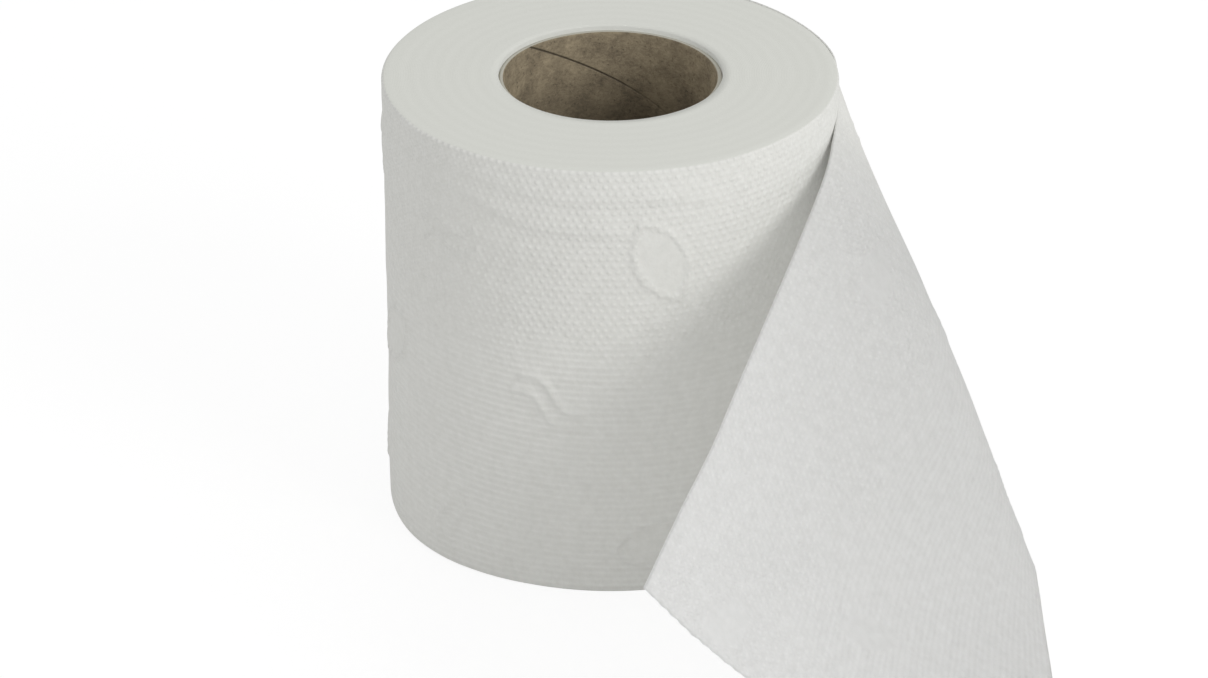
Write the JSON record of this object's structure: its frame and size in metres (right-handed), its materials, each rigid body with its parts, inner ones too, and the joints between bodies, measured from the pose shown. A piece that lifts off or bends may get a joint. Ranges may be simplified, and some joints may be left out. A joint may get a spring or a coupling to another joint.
{
  "type": "toilet paper roll",
  "caption": "Upright roll of embossed white tissue wound on a kraft cardboard core, its loose end let down at the right and standing on the table in front",
  "frame": {"origin": "on the roll's axis, in the plane of its lower end", "axes": "+Z is the roll's axis and the core's bore, upward as it stands; the tail leaves on the +X side and runs toward -Y"},
  "size_m": [0.1384, 0.1812, 0.098],
  "materials": {
    "tissue": "soft matt white tissue paper, dot embossed",
    "core_board": "matt grey-brown recycled kraft board, spiral wound"
  },
  "bodies": {
    "root": {"tissue_roll": "tissue", "core_tube": "core_board"}
  },
  "joints": []
}
